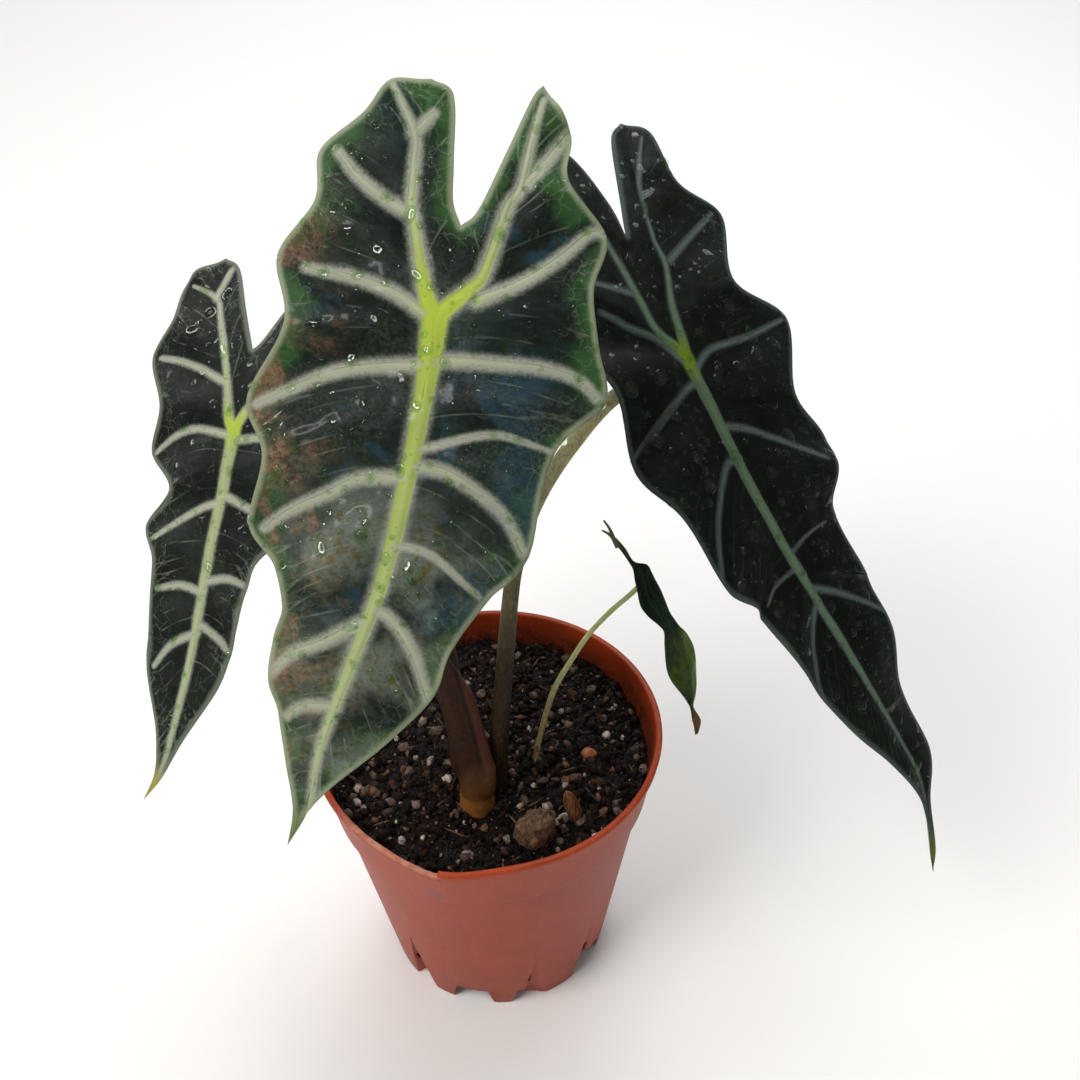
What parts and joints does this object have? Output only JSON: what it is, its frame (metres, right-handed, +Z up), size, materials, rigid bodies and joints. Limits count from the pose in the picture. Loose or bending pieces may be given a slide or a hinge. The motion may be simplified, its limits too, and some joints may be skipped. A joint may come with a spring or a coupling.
{
  "type": "potted plant",
  "caption": "Arrow-leaved alocasia with pale veins on waved dark leaves, growing in peat in a tapered nursery pot.",
  "frame": {"origin": "centre of the pot's base, on the surface that it stands on; the floor's flat underside is 2 mm above it", "axes": "+Z up; -Y towards the front of the plant, the side that the front leaf faces; +X to the right of the picture"},
  "size_m": [0.2532, 0.202, 0.3237],
  "materials": {
    "pot_plastic": "moulded terracotta-coloured plastic, satin",
    "peat_mix": null,
    "corm_skin": "ochre corm skin, dull",
    "petiole_brown": "mottled brown stem, smooth",
    "petiole_olive": "mottled brown stem turning olive upwards, smooth",
    "petiole_green": "pale green stem, smooth",
    "blade_dark_green": "glossy black-green blade with pale veins",
    "blade_black_green": "black-green blade with grey-green veins, satin",
    "blade_young": "dark green young blade, translucent lower half",
    "bark": "rough brown bark",
    "bark_chip": "split brown bark",
    "fired_clay": "orange-red unglazed pebble"
  },
  "bodies": {
    "root": {"pot": "pot_plastic", "soil": "peat_mix", "corm": "corm_skin", "petiole_front": "petiole_brown", "petiole_left": "petiole_brown", "petiole_right": "petiole_olive", "petiole_young": "petiole_green", "leaf_front": "blade_dark_green", "leaf_left": "blade_dark_green", "leaf_right": "blade_black_green", "leaf_young": "blade_young", "bark_lump": "bark", "bark_chip": "bark_chip", "clay_stone": "fired_clay"}
  },
  "joints": []
}
